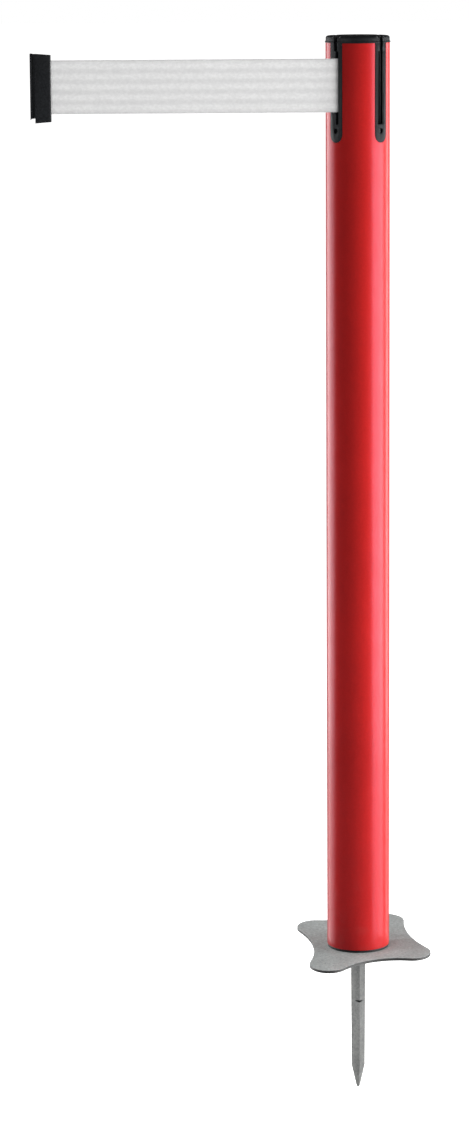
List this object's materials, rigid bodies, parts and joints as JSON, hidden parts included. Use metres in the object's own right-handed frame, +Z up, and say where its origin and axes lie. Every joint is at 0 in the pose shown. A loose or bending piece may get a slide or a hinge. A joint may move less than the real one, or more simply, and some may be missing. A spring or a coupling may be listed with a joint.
{
  "type": "retractable belt barrier post",
  "caption": "Round barrier post on a ground spike, with a sprung pull-out belt, belt receivers and a four-lobed foot plate.",
  "frame": {"origin": "centre of the foot plate's underside, at ground level, on the post's axis", "axes": "+Z up along the post, -X the way the belt is pulled out at rest, -Y towards the viewer"},
  "size_m": [0.396, 0.2099, 1.082],
  "materials": {
    "tube_paint": "gloss powder coat",
    "head_plastic": "fine moulded texture",
    "cassette_plastic": "plain moulded",
    "belt_fabric": "woven polyester webbing",
    "foot_steel": "dull rolled and laser-cut steel",
    "spike_steel": "dull drawn steel",
    "weld_steel": "weld bead",
    "foot_plastic": "plain moulded",
    "bright_steel": "zinc plated",
    "dark_screws": "black oxide",
    "spool_plastic": "acetal",
    "spring_steel": "blued spring steel",
    "brake_lining": "friction compound"
  },
  "bodies": {
    "post": {"post_tube": "tube_paint", "head_body": "cassette_plastic", "head_cap": "head_plastic", "cap_screws": "bright_steel", "receiver_front": "head_plastic", "receiver_right": "head_plastic", "receiver_back": "head_plastic", "belt_outlet": "head_plastic", "insert_screws": "dark_screws", "spool_axle": "bright_steel", "spring_arbor": "bright_steel", "belt_lead": "belt_fabric", "foot_plug": "foot_plastic", "foot_plate": "foot_steel", "weld_bead": "weld_steel", "ground_spike": "spike_steel", "foot_washer": "bright_steel", "foot_nut": "bright_steel"},
    "spool": {"spool": "spool_plastic", "spool_bushes": "spool_plastic", "belt_anchor_pin": "bright_steel", "belt_coil": "belt_fabric", "spring_cover": "spool_plastic", "recoil_spring": "spring_steel", "brake_rotor": "cassette_plastic"},
    "brake_shoe_a": {"brake_shoe_a": "brake_lining"},
    "brake_shoe_b": {"brake_shoe_b": "brake_lining"},
    "belt_run": {"belt_strip": "belt_fabric"},
    "belt_end": {"end_shell_front": "head_plastic", "end_shell_back": "head_plastic", "end_rail": "head_plastic", "end_pin": "bright_steel", "belt_loop": "belt_fabric", "end_screws": "bright_steel"}
  },
  "joints": [
    {"name": "belt_swing", "type": "hinge", "parent": "post", "child": "belt_run", "pos_m": [-0.0228, -0.02196, 0.8842], "axis": [0, 0, 1], "range_deg": [-15, 105]},
    {"name": "belt_pull", "type": "slide", "parent": "belt_run", "child": "belt_end", "axis": [-1, 0, 0], "range_m": [-0.267, 2], "deforming": ["belt_strip"]},
    {"name": "spool_spin", "type": "hinge", "parent": "post", "child": "spool", "pos_m": [0, 0, 0.8842], "axis": [0, 0, 1], "range_deg": [-1020, 7650], "deforming": ["recoil_spring"]},
    {"name": "brake_a_slide", "type": "slide", "parent": "spool", "child": "brake_shoe_a", "axis": [1, 0, 0], "range_m": [0, 0.0005]},
    {"name": "brake_b_slide", "type": "slide", "parent": "spool", "child": "brake_shoe_b", "axis": [-1, 0, 0], "range_m": [0, 0.0005]}
  ],
  "couplings": [
    {"joint": "spool_spin", "follows": "belt_pull", "rad_per_m": 66}
  ]
}
